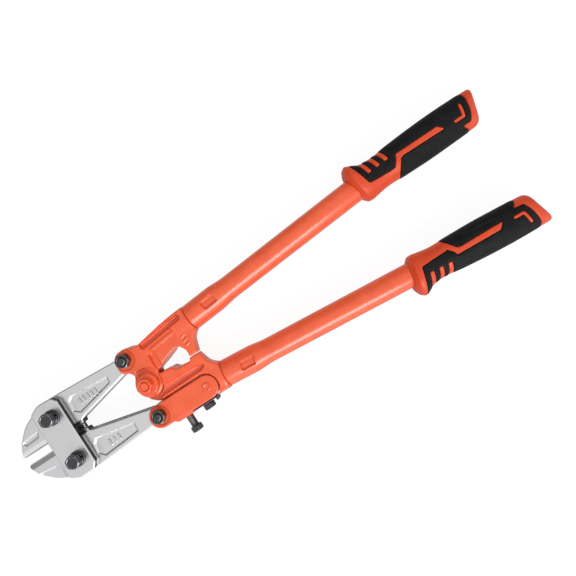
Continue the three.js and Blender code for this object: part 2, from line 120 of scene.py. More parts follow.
def new_material(name, color, roughness, metallic=0.0):
    """A material and its shader, with the constants on the shader's own sockets."""
    material = bpy.data.materials.new(name)
    material.use_nodes = True
    shader = material.node_tree.nodes["Principled BSDF"]
    shader.inputs["Base Color"].default_value = (*color, 1)
    shader.inputs["Roughness"].default_value = roughness
    shader.inputs["Metallic"].default_value = metallic
    return material, shader


def add_node(material, kind, **inputs):
    """A new node, with its inputs named by their sockets, spaces as underscores."""
    node = material.node_tree.nodes.new(kind)
    for name, value in inputs.items():
        node.inputs[name.replace("_", " ")].default_value = value
    return node


def noise(material, size, detail=3.0, stretch=(1, 1, 1)):
    """Noise with grains of about the given size in mm, longer along the stretched axes."""
    tree = material.node_tree
    position = add_node(material, "ShaderNodeTexCoord")
    scale = [1 / (MM * size * part) for part in stretch]
    mapping = add_node(material, "ShaderNodeMapping", Scale=scale)
    texture = add_node(material, "ShaderNodeTexNoise", Scale=1.0, Detail=detail)
    tree.links.new(position.outputs["Object"], mapping.inputs["Vector"])
    tree.links.new(mapping.outputs["Vector"], texture.inputs["Vector"])
    return texture.outputs["Fac"]


def upwardness(material):
    """The Z of the surface normal in the object's own axes: 1 on a face that looks up."""
    normal = add_node(material, "ShaderNodeTexCoord")
    split = add_node(material, "ShaderNodeSeparateXYZ")
    material.node_tree.links.new(normal.outputs["Normal"], split.inputs["Vector"])
    return split.outputs["Z"]


def vary(material, shader, socket, factor, low, high, between=(0.3, 0.7)):
    """Drives a shader socket from one value or colour to another as the factor rises."""
    tree = material.node_tree
    ramp = add_node(material, "ShaderNodeValToRGB")
    for element, position, value in zip(ramp.color_ramp.elements, between, (low, high)):
        element.position = position
        element.color = (*value, 1) if isinstance(value, tuple) else (value, value, value, 1)
    tree.links.new(factor, ramp.inputs["Fac"])
    tree.links.new(ramp.outputs["Color"], shader.inputs[socket])


def bump(material, shader, layers):
    """Stacks bumps, each a (height, depth in mm) pair."""
    tree = material.node_tree
    normal = None
    for height, depth in layers:
        node = add_node(material, "ShaderNodeBump", Strength=1.0, Distance=depth * MM)
        tree.links.new(height, node.inputs["Height"])
        if normal is not None:
            tree.links.new(normal, node.inputs["Normal"])
        normal = node.outputs["Normal"]
    tree.links.new(normal, shader.inputs["Normal"])


def orange_paint():
    """Powder coat: orange peel, with faint drifts of colour and gloss."""
    material, shader = new_material("orange_paint", (0.8, 0.085, 0.022), 0.36)
    shader.inputs["Specular IOR Level"].default_value = 0.4
    shader.inputs["Coat Weight"].default_value = 0.8
    shader.inputs["Coat Roughness"].default_value = 0.17
    drift = noise(material, 9)
    vary(material, shader, "Base Color", drift, (0.76, 0.088, 0.022), (0.84, 0.11, 0.03))
    vary(material, shader, "Roughness", noise(material, 2.2), 0.32, 0.42)
    bump(material, shader, [(noise(material, 1.1, 1), 0.045), (noise(material, 0.3, 1), 0.006)])
    return material


def bare_steel():
    """Satin steel: fine grained faces and bevels, with painted shade: its steep walls are coloured nearly
    black.
    """
    material, shader = new_material("bare_steel", (0.72, 0.73, 0.74), 0.3, 0.96)
    grain = noise(material, 0.35, 2)
    lines = noise(material, 0.5, 2, (14, 1, 1))
    flatness = add_node(material, "ShaderNodeMath")
    flatness.operation = "ABSOLUTE"
    material.node_tree.links.new(upwardness(material), flatness.inputs[0])
    # Painted shade: faces that stand steeply are coloured nearly black, and faces that look up or down stay
    # pale.
    painted_shade_wall, face = (0.05, 0.05, 0.055), (0.82, 0.825, 0.835)
    vary(material, shader, "Base Color", flatness.outputs["Value"], painted_shade_wall, face, between=(0.2, 0.5))
    vary(material, shader, "Roughness", lines, 0.29, 0.33)
    bump(material, shader, [(grain, 0.009), (lines, 0.0005)])
    return material


def black_steel():
    """Black oxide on machined steel, with a painted highlight: the chamfers of nuts and heads are coloured
    bright.
    """
    material, shader = new_material("black_fasteners", (0.06, 0.06, 0.065), 0.34, 0.9)
    tree = material.node_tree
    ramp = add_node(material, "ShaderNodeValToRGB")
    # Painted highlight: faces that slope part way up, such as chamfers and thread flanks, are coloured
    # brighter than the rest.
    black, bright = (0.085, 0.086, 0.092, 1), (0.26, 0.262, 0.266, 1)
    stops = ramp.color_ramp.elements
    stops[0].color = black
    stops[1].position = 0.965
    stops[1].color = black
    for position, color in ((0.6, black), (0.76, bright), (0.9, bright)):
        stops.new(position).color = color
    tree.links.new(upwardness(material), ramp.inputs["Fac"])
    tree.links.new(ramp.outputs["Color"], shader.inputs["Base Color"])
    vary(material, shader, "Roughness", noise(material, 0.8), 0.26, 0.42)
    bump(material, shader, [(noise(material, 0.25, 2), 0.008)])
    return material


def orange_plastic():
    """Moulded polypropylene with a fine spark-eroded texture."""
    material, shader = new_material("grip_plastic", (0.76, 0.075, 0.013), 0.42)
    vary(material, shader, "Base Color", noise(material, 7), (0.64, 0.052, 0.009), (0.7, 0.065, 0.012))
    vary(material, shader, "Roughness", noise(material, 1.2), 0.38, 0.48)
    bump(material, shader, [(noise(material, 0.28, 2), 0.012)])
    return material


def black_rubber():
    """Soft overmould with a matte leather-like grain."""
    material, shader = new_material("grip_rubber", (0.01, 0.011, 0.012), 0.6)
    shader.inputs["Specular IOR Level"].default_value = 0.15
    dark, pale = (0.006, 0.0063, 0.007), (0.011, 0.0113, 0.012)
    vary(material, shader, "Base Color", noise(material, 5), dark, pale)
    vary(material, shader, "Roughness", noise(material, 0.9), 0.52, 0.68)
    bump(material, shader, [(noise(material, 0.45, 3), 0.035), (noise(material, 0.16, 1), 0.01)])
    return material


MATERIALS = {
    "orange_paint": orange_paint(),
    "bare_steel": bare_steel(),
    "black_fasteners": black_steel(),
    "grip_plastic": orange_plastic(),
    "grip_rubber": black_rubber(),
}

# ------------------------------------------------------------------ finishing a piece

SHARP = math.radians(24)  # edges sharper than this are bevelled

BODY_OF = {
    node: body
    for body, nodes in frame["record"]["behaviour"]["bodies"].items()
    for node in nodes
}


def place(node, points, faces, slot, matrix=Matrix.Identity(4), share=1.0, bevel=0.0):
    """Makes the piece that stands for a CAD node, keeping the given share of its faces."""
    mesh = bpy.data.meshes.new(node + "_detail")
    mesh.from_pydata(points, [], faces)
    whole = to_row @ matrix
    mesh.transform(whole)
    if whole.is_negative:
        mesh.flip_normals()
    mesh.shade_smooth()
    piece = bpy.data.objects.new(mesh.name, mesh)
    collection.objects.link(piece)
    if share < 1:
        thin = piece.modifiers.new("thin", "DECIMATE")
        thin.ratio = share
    if bevel:
        edge = piece.modifiers.new("edge", "BEVEL")
        edge.width = bevel * MM
        edge.segments = 2
        edge.limit_method = "ANGLE"
        edge.angle_limit = SHARP
    weighted = piece.modifiers.new("weighted", "WEIGHTED_NORMAL")
    weighted.keep_sharp = True
    apply_modifiers(piece)
    piece.data.materials.append(MATERIALS[slot])
    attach(piece, BODY_OF[node])
    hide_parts(node)


def apply_modifiers(piece):
    """Bakes the modifiers into the piece's mesh."""
    bpy.context.view_layer.update()
    evaluated = piece.evaluated_get(bpy.context.evaluated_depsgraph_get())
    mesh = bpy.data.meshes.new_from_object(evaluated)
    piece.modifiers.clear()
    piece.data = mesh


# ------------------------------------------------------------------ signed distance fields


def outline(corners, arc_step=math.radians(9)):
    """A closed outline through corners (x, y, radius); each radius rounds its corner."""
    points = []
    for index, (x, y, *rest) in enumerate(corners):
        corner = Vector((x, y))
        radius = rest[0] if rest else 0
        if radius == 0:
            points.append(corner)
            continue
        before = (Vector(corners[index - 1][:2]) - corner).normalized()
        after = (Vector(corners[(index + 1) % len(corners)][:2]) - corner).normalized()
        half_turn = before.angle(after) / 2
        middle = corner + (before + after).normalized() * radius / math.sin(half_turn)
        enter = corner + before * radius / math.tan(half_turn) - middle
        swing = -(before.x * after.y - before.y * after.x)
        angle = math.copysign(math.pi - 2 * half_turn, swing)
        steps = max(2, math.ceil(abs(angle) / arc_step))
        turns = [Matrix.Rotation(angle * step / steps, 2) for step in range(steps + 1)]
        points += [middle + turn @ enter for turn in turns]
    return np.array([tuple(point) for point in points])


def flat(corners, x, y):
    """Distance to a closed outline in the plane, negative inside."""
    points = outline(corners)
    nearest = np.inf
    inside = False
    for (ax, ay), (bx, by) in zip(points, np.roll(points, -1, axis=0)):
        along_x, along_y = bx - ax, by - ay
        share = ((x - ax) * along_x + (y - ay) * along_y) / max(along_x**2 + along_y**2, 1e-12)
        share = np.clip(share, 0, 1)
        nearest = np.minimum(nearest, (x - ax - share * along_x) ** 2 + (y - ay - share * along_y) ** 2)
        if ay != by:
            inside = inside ^ (((ay > y) != (by > y)) & (x < along_x * (y - ay) / along_y + ax))
    return np.where(inside, -1, 1) * np.sqrt(nearest)


def circle(x, y, middle, radius):
    return np.hypot(x - middle[0], y - middle[1]) - radius


def eased(share):
    """A rise from 0 to 1 that starts and ends level."""
    return share * share * (3 - 2 * share)


def both(a, b, blend=0.0):
    """Where both fields are inside, with the meeting edge rounded over the blend."""
    if blend == 0:
        return np.maximum(a, b)
    overlap = np.maximum(blend - np.abs(a - b), 0) / blend
    return np.maximum(a, b) + overlap**2 * blend / 4


def either(a, b, blend=0.0):
    """Where at least one field is inside, with the meeting corner filled over the blend."""
    return -both(-a, -b, blend)


def cut(a, b, blend=0.0):
    """The first field without the second, with the new edge rounded over the blend."""
    return both(a, -b, blend)


def slab(shape, z, bottom, top, blend=0.0):
    """An outline's field between two levels."""
    return both(shape, np.abs(z - (bottom + top) / 2) - (top - bottom) / 2, blend)


def chamfered(shape, z, bottom, top, width):
    """A slab with its edges cut at 45 degrees; the width may differ from place to place."""
    depth = np.abs(z - (bottom + top) / 2) - (top - bottom) / 2
    return np.maximum(np.maximum(shape, depth), (shape + depth + width) / math.sqrt(2))


CORNERS = np.array([(i, j, k) for i in (0, 1) for j in (0, 1) for k in (0, 1)])
CELL_EDGES = [
    (a, b) for a in range(8) for b in range(a + 1, 8) if np.abs(CORNERS[a] - CORNERS[b]).sum() == 1
]


def surface(field, low, high, step):
    """The zero surface of field(x, y, z) in a box, as points and four-cornered faces."""
    axes = [np.arange(start, end + step, step) for start, end in zip(low, high)]
    x, y, z = np.ix_(*axes)
    values = np.broadcast_to(field(x, y, z), [len(axis) for axis in axes])
    inside = values < 0
    filled = sum(
        inside[tuple(slice(c, n - 1 + c) for c, n in zip(corner, inside.shape))].astype(np.int8)
        for corner in CORNERS
    )
    cells = np.argwhere((filled > 0) & (filled < 8))
    number = np.full(filled.shape, -1)
    number[tuple(cells.T)] = np.arange(len(cells))
    at_corner = [values[tuple((cells + corner).T)] for corner in CORNERS]
    total = np.zeros((len(cells), 3))
    hits = np.zeros(len(cells))
    for a, b in CELL_EDGES:
        crossing = (at_corner[a] < 0) != (at_corner[b] < 0)
        span = np.where(crossing, at_corner[a] - at_corner[b], 1)
        share = np.where(crossing, at_corner[a] / span, 0)
        total += crossing[:, None] * CORNERS[a] + share[:, None] * (CORNERS[b] - CORNERS[a])
        hits += crossing
    points = np.array(low) + step * (cells + total / hits[:, None])
    faces = []
    for axis in range(3):
        ahead, side, up = np.roll(np.eye(3, dtype=int), -axis, axis=0)
        first = inside[tuple(slice(0, n - a) for n, a in zip(inside.shape, ahead))]
        second = inside[tuple(slice(a, n) for n, a in zip(inside.shape, ahead))]
        changes = np.argwhere(first != second)
        backs = (side + up, up, 0 * up, side)
        loop = np.stack([number[tuple((changes - back).T)] for back in backs], axis=1)
        faces.append(np.where(first[tuple(changes.T)][:, None], loop, loop[:, ::-1]))
    return points.tolist(), np.concatenate(faces).tolist()


# ------------------------------------------------------------------ lofted pieces


def loft(rings, closed=False):
    """Joins rings of points, from the last back to the first if closed, else capped."""
    count = len(rings[0])
    faces = []
    for row in range(len(rings) if closed else len(rings) - 1):
        near, far = row * count, (row + 1) % len(rings) * count
        faces += [
            [near + i, near + (i + 1) % count, far + (i + 1) % count, far + i] for i in range(count)
        ]
    if not closed:
        faces.append(list(range(count))[::-1])
        faces.append([(len(rings) - 1) * count + i for i in range(count)])
    return np.concatenate(rings).tolist(), faces


SIDES = 72
ANGLES = np.arange(SIDES) * math.tau / SIDES
HEX_CORNER = 1.135  # how far a hexagon's blunt corners reach, over half its width across flats
HEX_FACE = 0.95  # the radius of the flat circle on its faces, over the same
HEX_CHAMFER = math.radians(30)
THREAD_DEPTH = 0.4  # over the pitch
THREAD_FLANK = 1.25  # more than 1 leaves a flat root


def round_ring(radius, z):
    """A ring whose radius and level are numbers or one value per side."""
    radius, z = np.broadcast_to(radius, SIDES), np.broadcast_to(z, SIDES)
    return np.stack([radius * np.cos(ANGLES), radius * np.sin(ANGLES), z], axis=1)


def hex_rings(flats, bottom, top, turn):
    """The outside of a hexagon from its bottom face to its top face, chamfered by cones."""
    half = flats / 2
    sector = math.tau / 6
    side = half / np.cos((ANGLES - turn) % sector - sector / 2)
    side = np.minimum(side, half * HEX_CORNER)
    face = half * HEX_FACE
    drop = (side - face) * math.tan(HEX_CHAMFER)
    return [
        round_ring(face, bottom), round_ring(side, bottom + drop),
        round_ring(side, top - drop), round_ring(face, top),
    ]


def thread_rings(radius, pitch, bottom, top, lead=0.6):
    """A threaded shank whose top end narrows over the lead."""
    depth = THREAD_DEPTH * pitch
    rise = pitch / 6
    rings = []
    for z in np.arange(bottom, top + rise / 2, rise):
        phase = (z / pitch - ANGLES / math.tau) % 1
        ridge = radius - depth * np.minimum(np.abs(2 * phase - 1) * THREAD_FLANK, 1)
        room = radius - lead + min(top - z, lead)
        rings.append(round_ring(np.minimum(ridge, room), min(z, top)))
    return rings


# ------------------------------------------------------------------ jaws

JAW_STEP = 0.2  # the size of the grid's cells
PANEL_DEPTH = 0.9
OUTER_CHAMFER = 0.5
INNER_CHAMFER = {"upper": 1.3, "lower": 1.0}
CHAMFER_GROWTH = 3.0  # the chamfer widens over this distance
INNER_START, INNER_SIDE, INNER_SLOPE = -50.0, 15.0, 0.09  # below this line it is the inner one
JAW_EDGE_Y = 2.6
BEVEL_WIDTH = 3.6
BEVEL_END = -71.6
EDGE_LAND = 0.2
HONED_SLOPE = 2.0  # the steep second bevel along the edge
HONED_WIDTH = 1.0
HEEL_X, HEEL_HALF = -53.3, 2.2  # the pocket in the front of the heels
HEEL_TOP = 4.2
HEEL_LEVEL = -2.4
MARK_HALF, MARK_RADIUS, MARK_RISE = 1.5, 0.6, 0.2
TAIL_RADIUS = 6.6
TAIL_HOLE = {"upper": BOLT_HOLE, "lower": 4.4}  # the lower one leaves room as the tool opens

JAW_OUTLINE = [
    (-97.2, JAW_EDGE_Y), (-72, JAW_EDGE_Y, 0.8), (-72, GAP, 0.6), (JAW_X, GAP), (-50, 1.9, 0.5),
    (-49.6, 3.9, 0.8), (TAIL_X - 3, 13.6, 4), (TAIL_X + 2, 16), (TAIL_X + 2, 24), (TAIL_X - 6, 23.2, 4),
    (-53, 25.8, 30), (-67, 26.2, 24), (-84, 19.9, 22), (-92.6, 11.6, 6),
]
TAIL_PANELS = {
    "upper": [
        (-48.1, 20.3, 1), (-21, 18.1, 0.8), (-21.8, 13.5, 1), (-48.1, 7.7, 1.2), (-52.1, 10.9, 1),
        (-51.3, 17.9, 1.5),
    ],
    "lower": [
        (-49.2, 10.2, 1), (-22.4, 15, 0.8), (-22.8, 21.3, 1), (-49.5, 23.4, 1.2), (-53.2, 19.6, 1),
        (-51.9, 13, 1.5),
    ],
}
NOSE_PANELS = {
    "upper": [(-90, 12.1, 0.8), (-78.2, 13.1, 0.8), (-80.2, 8.9, 0.8), (-90.1, 8.3, 0.8), (-92.2, 11, 0.8)],
    "lower": [(-95, 14.5), (-91.6, 10.3, 0.8), (-80.7, 11.7, 0.8), (-77.8, 15.7, 1), (-78.4, 30), (-95, 30)],
}
# Plain raised bars where a size would be stamped: their middles along each panel.
MARK_BARS = {"upper": [-44.5, -41.5, -38.5, -35.5, -32.5], "lower": [-42.5, -39, -35.5]}
MARK_MIDDLE = {"upper": 14.2, "lower": 17.6}


def jaw(side):
    """The mesh of one jaw, drawn on the upper side of the tool."""
    panels = [TAIL_PANELS[side], NOSE_PANELS[side]]

    def field(x, y, z):
        shape = either(flat(JAW_OUTLINE, x, y), circle(x, y, (TAIL_X, TAIL_Y), TAIL_RADIUS))
        level = np.abs(z)
        along = x - INNER_START
        inward = np.clip((INNER_SIDE + along * INNER_SLOPE - y) / CHAMFER_GROWTH, 0, 1)
        inward = inward * np.clip(along / CHAMFER_GROWTH, 0, 1)
        width = OUTER_CHAMFER + (INNER_CHAMFER[side] - OUTER_CHAMFER) * inward
        body = chamfered(shape, z, -CORE_HALF, CORE_HALF, width)
        honed_top = EDGE_LAND + HONED_WIDTH * HONED_SLOPE
        slope = (CORE_HALF - honed_top) / (BEVEL_WIDTH - HONED_WIDTH)
        ground = (level - honed_top - (y - JAW_EDGE_Y - HONED_WIDTH) * slope) / math.hypot(1, slope)
        honed = (level - EDGE_LAND - (y - JAW_EDGE_Y) * HONED_SLOPE) / math.hypot(1, HONED_SLOPE)
        body = both(body, np.where(x < BEVEL_END, np.maximum(ground, honed), -np.inf))
        for panel in panels:
            walls = (flat(panel, x, y) + CORE_HALF - level) / math.sqrt(2)
            body = cut(body, both(walls, CORE_HALF - PANEL_DEPTH - level, 0.2), 0.1)
        heel = both(both(np.abs(x - HEEL_X) - HEEL_HALF, y - HEEL_TOP), HEEL_LEVEL - z)
        body = cut(body, heel, 0.2)
        for bar_x in MARK_BARS[side]:
            past_end = np.maximum(np.abs(y - MARK_MIDDLE[side]) - MARK_HALF, 0)
            bar = np.hypot(x - bar_x, past_end) - MARK_RADIUS
            body = either(body, both(bar, level - CORE_HALF + MARK_RISE, 0.2), 0.1)
        body = cut(body, circle(x, y, (TAIL_X, TAIL_Y), TAIL_HOLE[side]))
        return cut(body, circle(x, y, (JAW_X, JAW_Y), BOLT_HOLE))

    return surface(field, (-98, -0.6, -4), (4, 28, 4), JAW_STEP)


place("upper_jaw", *jaw("upper"), "bare_steel", share=0.3)
place("lower_jaw", *jaw("lower"), "bare_steel", matrix=mirror, share=0.3)

# ------------------------------------------------------------------ straps

STRAP_CHAMFER = 0.55
STRAP_UPPER_HALF = [(-54.8, 22.2, 0.8), (-57.4, 25.6, 2.5), (-68, 26.1, 9), (-74.6, 22.8, 1.6)]
STRAP_OUTLINE = STRAP_UPPER_HALF + [(x, -y, radius) for x, y, radius in STRAP_UPPER_HALF[::-1]]


def strap(x, y, z):
    """A plate with chamfered edges and a hole for each jaw bolt."""
    shape = flat(STRAP_OUTLINE, x, y)
    body = chamfered(shape, z, CHEEK_IN, CHEEK_OUT, STRAP_CHAMFER)
    for bolt_y in (JAW_Y, -JAW_Y):
        body = cut(body, circle(x, y, (JAW_X, bolt_y), BOLT_HOLE))
    return body


strap_mesh = surface(strap, (-75.6, -27, 3), (-53.8, 27, 8), JAW_STEP)
behind = Matrix.Scale(-1, 4, (0, 0, 1))
place("front_strap", *strap_mesh, "bare_steel", share=0.25)
place("rear_strap", *strap_mesh, "bare_steel", behind, share=0.25)

# ------------------------------------------------------------------ fasteners

JAW_TURN = math.radians(-33)  # a flat of the jaw bolts' heads looks this way
TAIL_TURN = math.radians(-20)
WASHER = {"radius": 5.0, "bottom": 7.6, "top": 8.7}
SPRING = {"radius": 4.6, "bottom": 9.0, "top": 10.3}
SPRING_THICK = 0.82  # over its height
SPRING_SPLIT = math.radians(16)
JAW_HEAD = (10.6, 14.6)
TAIL_NUT = (7.6, 11.8)
PIVOT_NUT = (9.4, 13.4)
PIVOT_HEAD = (-12.1, -8.4)
BACK_HEAD = (-CHEEK_OUT - GAP - 4, -CHEEK_OUT - GAP)
TIP_PROUD = 1.0  # how far the tail bolts' ends pass their nuts
PIVOT_PROUD = 0.8


def at(x, y):
    return Matrix.Translation((x, y, 0))


def nut(flats, radius, bottom, top, turn):
    """A nut, chamfered on both faces and countersunk at its hole."""
    hole, sunk = radius + 0.1, 0.5
    rings = hex_rings(flats, bottom, top, turn)
    rings += [round_ring(hole + sunk, top), round_ring(hole, top - sunk)]
    rings += [round_ring(hole, bottom + sunk), round_ring(hole + sunk, bottom)]
    return loft(rings, closed=True)


def headed_bolt(size, head, turn, tip, dish=0.0):
    """A hexagon head between two levels, on a threaded shank that runs to its tip.

    A tip below the head leaves the head's top in the open, and the dish is its depth.
    """
    low, high = head
    rings = hex_rings(size["flats"], low, high, turn)
    if tip < low:
        shank = thread_rings(size["radius"], size["pitch"], -low, -tip)
        shank = [ring * (1, 1, -1) for ring in shank][::-1]
        rings = shank + rings
        if dish:
            rim = size["flats"] / 2 * HEX_FACE - 0.45
            rings += [round_ring(rim, high), round_ring(rim - 0.3, high - dish)]
    else:
        rings += thread_rings(size["radius"], size["pitch"], high, tip)
    return loft(rings)


def washer(radius, bottom, top, edge=0.2):
    """A flat washer with its edges cut."""
    rings = [
        round_ring(BOLT_HOLE, bottom), round_ring(radius - edge, bottom),
        round_ring(radius, bottom + edge), round_ring(radius, top - edge),
        round_ring(radius - edge, top), round_ring(BOLT_HOLE + edge, top),
        round_ring(BOLT_HOLE, top - edge),
    ]
    return loft(rings, closed=True)


def spring_washer(radius, bottom, top):
    """A split ring whose ends stand one above the other."""
    thick = (top - bottom) * SPRING_THICK
    corners = [(BOLT_HOLE, 0), (radius, 0), (radius, thick), (BOLT_HOLE, thick)]
    rings = []
    for share in np.linspace(0, 1, 60):
        angle = SPRING_SPLIT / 2 + share * (math.tau - SPRING_SPLIT)
        lift = bottom + (top - bottom - thick) * share
        rings.append(np.array([(r * math.cos(angle), r * math.sin(angle), z + lift) for r, z in corners]))
    return loft(rings[::-1])


for side, y in (("upper", JAW_Y), ("lower", -JAW_Y)):
    spot = at(JAW_X, y)
    bolt = headed_bolt(M5, JAW_HEAD, JAW_TURN, REST_LEVEL, dish=0.25)
    place(f"{side}_jaw_bolt", *bolt, "black_fasteners", spot, bevel=0.12)
    place(f"{side}_jaw_flat_washer", *washer(*WASHER.values()), "black_fasteners", spot)
    spring = spring_washer(*SPRING.values())
    place(f"{side}_jaw_spring_washer", *spring, "black_fasteners", spot, bevel=0.15)
    jaw_nut = nut(M5["flats"], M5["radius"], REST_LEVEL, -CHEEK_OUT - GAP, JAW_TURN)
    place(f"{side}_jaw_nut", *jaw_nut, "black_fasteners", spot, bevel=0.12)

for side, y in (("upper", TAIL_Y), ("lower", -TAIL_Y)):
    spot = at(TAIL_X, y)
    bolt = headed_bolt(M5, BACK_HEAD, TAIL_TURN, TAIL_NUT[1] + TIP_PROUD)
    place(f"{side}_tail_bolt", *bolt, "black_fasteners", spot, bevel=0.1)
    tail_nut = nut(M5["flats"], M5["radius"], *TAIL_NUT, TAIL_TURN)
    place(f"{side}_tail_nut", *tail_nut, "black_fasteners", spot, bevel=0.15)

pivot_bolt = headed_bolt(M5, PIVOT_HEAD, TAIL_TURN, PIVOT_NUT[1] + PIVOT_PROUD)
pivot_nut = nut(M5["flats"], M5["radius"], *PIVOT_NUT, TAIL_TURN)
place("pivot_bolt", *pivot_bolt, "orange_paint", bevel=0.12)
place("pivot_nut", *pivot_nut, "orange_paint", bevel=0.3)

# ------------------------------------------------------------------ lever forgings

FORGING_STEP = 0.32  # the size of the grid's cells
FORGED_EDGE = 1.5  # how softly the forgings' edges are rounded
EYE_RADIUS = 8.8  # the upper forging's, round the pivot
EYE_LEVEL = CHEEK_OUT - 0.8
TONGUE_RADIUS = 8.5
TONGUE_ROOM = 9.25  # the round room for the other forging at the pivot
BOSS = {"radius": 6.9, "bottom": -8.1, "top": 9.1}
MOAT_RADIUS, MOAT_HALF, MOAT_DEPTH = 8.6, 1.5, 1.4  # the ring pressed in round the boss
SEAT_DEPTH = 0.45  # of the round flats under the tail nuts and heads
SEAT_RADIUS = {"upper": 6.4, "lower": 6.0}
FORK_REACH, FORK_START, FORK_SIDE = 7.4, 12.4, TAIL_X + 1  # the slot for the upper jaw's tail
GROOVE_DEPTH, STEP_DEPTH, RIB_RISE = 2.8, 2.6, 0.8
LOWER_GROOVE_DEPTH, LOWER_GROOVE_SIDE, LOWER_GROOVE_SLOPE = 3.0, -11.0, 0.25  # deepest at its side
LINK_POCKET, POCKET_SIDE = 8.2, -12.4  # the room for the link round its rivet, and its straight side
WELL_LEVEL = -5.0
TOE_GAP = 0.22  # from the middle to each toe
TOE_DRAFT = 0.5  # the slope of the walls round the toes, on the back half
TAPER_START, TAPER_LENGTH = 22.0, 8.0  # the slope grows over this stretch

UPPER_OUTLINE = [
    (42.65, 12.2, 1), (38.9, 7.6, 5), (36.6, TOE_GAP, 0.8), (31, TOE_GAP, 0.6), (31.2, 4.6, 1),
    (28.6, 9.6, 3), (23.8, 8.9, 2.4), (8.6, 3.6, 2), (6, 0), (-8, 0), (-5.2, 4.8, 2), (-5.2, 11.2, 3.5),
    (-11.3, 13, 5), (-11.3, 26.2, 6.4), (-1, 26.2, 5), (5, 23.3, 9), (26, 26.9, 40), (41.35, 28.2, 1),
]
LOWER_OUTLINE = [
    (42.65, -12.2, 1), (38.9, -7.6, 5), (36.6, -TOE_GAP, 0.8), (30.3, -TOE_GAP, 0.6), (29.4, -2.1, 0.8),
    (19.4, -1.3, 1.5), (17.2, 1.2, 1.5), (6.6, 2.2), (2, -4), (2.6, -12.7), (RIVET_X, -12.7),
    (RIVET_X, -28.6), (41.35, -28.6, 1),
]
TONGUE_OUTLINE = [
    (5, -24.6, 2), (34, -24.6, 5), (37, -20, 3), (37, -8), (8, 2), (-6, -5), (-6.4, -8.4, 4),
    (-0.8, -13, 5), (5, -13.8),
]


def along_handle(x, y, sign=1):
    """Places in the handle's own frame: along its axis, and outward from it."""
    y = y * sign
    cos, sin = math.cos(HANDLE_SLOPE), math.sin(HANDLE_SLOPE)
    return x * cos + y * sin, y * cos - x * sin - HANDLE_OFFSET


def capsule(x, y, start, end, radius):
    """Distance to a straight bar with round ends, negative inside."""
    along = np.subtract(end, start)
    share = np.clip(((x - start[0]) * along[0] + (y - start[1]) * along[1]) / along.dot(along), 0, 1)
    return np.hypot(x - start[0] - share * along[0], y - start[1] - share * along[1]) - radius


def forged_outline(corners, x, y, z):
    """An outline whose back half draws in round the toes."""
    slope = TOE_DRAFT * np.clip((x - TAPER_START) / TAPER_LENGTH, 0, 1)
    return (flat(corners, x, y) + slope * np.maximum(-z, 0)) / np.hypot(1, slope)


def neck(x, y, z, sign):
    """The forging's round end that meets the tube, and the spigot inside the tube."""
    u, v = along_handle(x, y, sign)
    radial = np.hypot(v, z)
    collar = both(radial - SOCKET_RADIUS + 0.1, np.abs(u - COLLAR_AT) - COLLAR_HALF, 0.9)
    return collar, both(radial - SPIGOT_RADIUS, np.abs(u - SPIGOT_AT) - SPIGOT_HALF)


def upper_forging(x, y, z):
    """The forging with the eye, the boss and the fork, on a spigot."""
    level = np.abs(z)
    body = slab(forged_outline(UPPER_OUTLINE, x, y, z), z, -CHEEK_OUT, CHEEK_OUT, FORGED_EDGE)
    collar, spigot = neck(x, y, z, 1)
    body = either(body, collar, 2.4)
    eye = circle(x, y, (0, 0), EYE_RADIUS)
    body = either(body, slab(eye, z, -EYE_LEVEL, EYE_LEVEL, 2), 2)
    moat = both(np.abs(np.hypot(x, y) - MOAT_RADIUS) - MOAT_HALF, CHEEK_OUT - MOAT_DEPTH - level, 1.2)
    body = cut(body, moat, 1.2)
    boss = slab(circle(x, y, (0, 0), BOSS["radius"]), z, BOSS["bottom"], BOSS["top"], 0.8)
    body = either(body, boss, 0.6)
    seat = both(circle(x, y, (TAIL_X, TAIL_Y), SEAT_RADIUS["upper"]), CHEEK_OUT - SEAT_DEPTH - level)
    body = cut(body, seat, 0.3)
    groove = capsule(x, y, (9.9, 21.5), (36.8, 24.4), 2.1)
    body = cut(body, both(groove, CHEEK_OUT - GROOVE_DEPTH - level, 1.8), 0.5)
    step = flat([(9.6, 16.2, 1.8), (14.2, 15.2, 1.6), (13.4, 2, 1), (9.2, 2, 1)], x, y)
    body = cut(body, both(step, CHEEK_OUT - STEP_DEPTH - level, 1.8), 0.6)
    rib = capsule(x, y, (13.8, 16.6), (36.6, 18.9), 0.9)
    body = either(body, both(rib, level - CHEEK_OUT - RIB_RISE, 0.4), 0.2)
    for mark_y in (7.6, 10.4, 13.2):
        bar = capsule(x, y, (33, mark_y - 0.4), (35.6, mark_y + 0.4), 0.5)
        body = either(body, both(bar, level - CHEEK_OUT - 0.5, 0.3), 0.2)
    slot = np.maximum(x - FORK_SIDE, FORK_START - y)
    fork = either(circle(x, y, (TAIL_X, TAIL_Y), FORK_REACH), slot)
    body = cut(body, slab(fork, z, -CHEEK_IN, CHEEK_IN), 0.3)
    body = cut(body, slab(circle(x, y, (0, 0), TONGUE_ROOM), z, -CHEEK_IN, CHEEK_IN))
    for hole in ((0, 0), (TAIL_X, TAIL_Y)):
        body = cut(body, circle(x, y, hole, BOLT_HOLE))
    return either(body, spigot)


